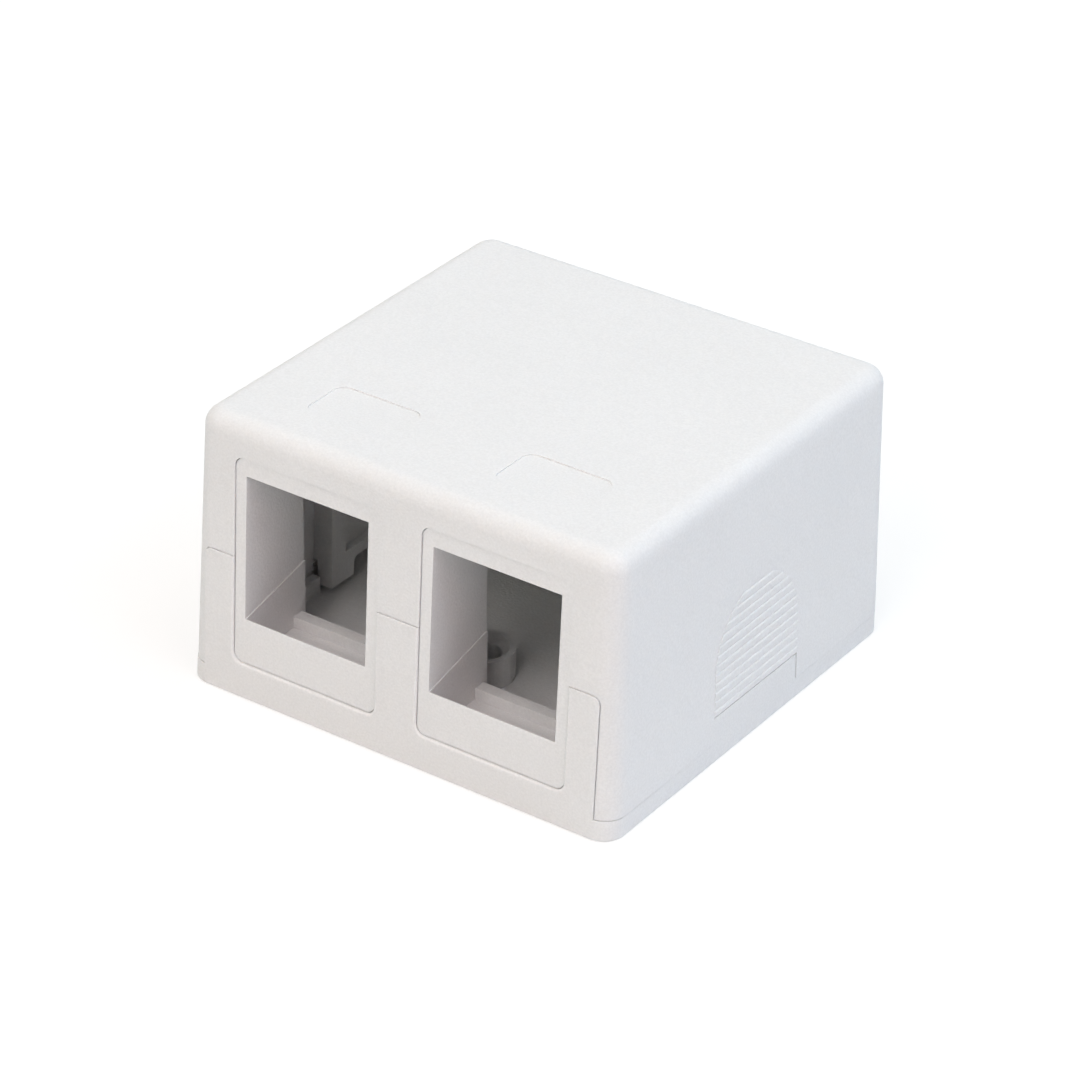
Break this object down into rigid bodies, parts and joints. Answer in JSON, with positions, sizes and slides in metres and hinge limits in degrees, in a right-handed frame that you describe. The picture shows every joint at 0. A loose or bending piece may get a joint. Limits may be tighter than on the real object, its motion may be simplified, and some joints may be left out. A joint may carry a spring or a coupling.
{
  "type": "surface mount jack box",
  "caption": "Small white surface mount box with keystone jack openings in a leaning front, a fixed base and a lift-off cover with ribbed side grips.",
  "frame": {"origin": "centre of the base's footprint, on its fixing face", "axes": "+Z out of the wall or desk that the base is fixed to, -Y out of the port face, +X to the right when facing the ports"},
  "size_m": [0.0516, 0.0502, 0.0306],
  "materials": {
    "base_plastic": "fine matte",
    "cover_plastic": "fine matte",
    "port_frame_plastic": "fine matte"
  },
  "bodies": {
    "base": {"base": "base_plastic", "port_frame_left": "port_frame_plastic", "port_frame_right": "port_frame_plastic"},
    "cover": {"cover": "cover_plastic"}
  },
  "joints": [
    {"name": "cover_lift", "type": "slide", "parent": "base", "child": "cover", "axis": [0, 0, 1], "range_m": [0, 0.035]}
  ]
}
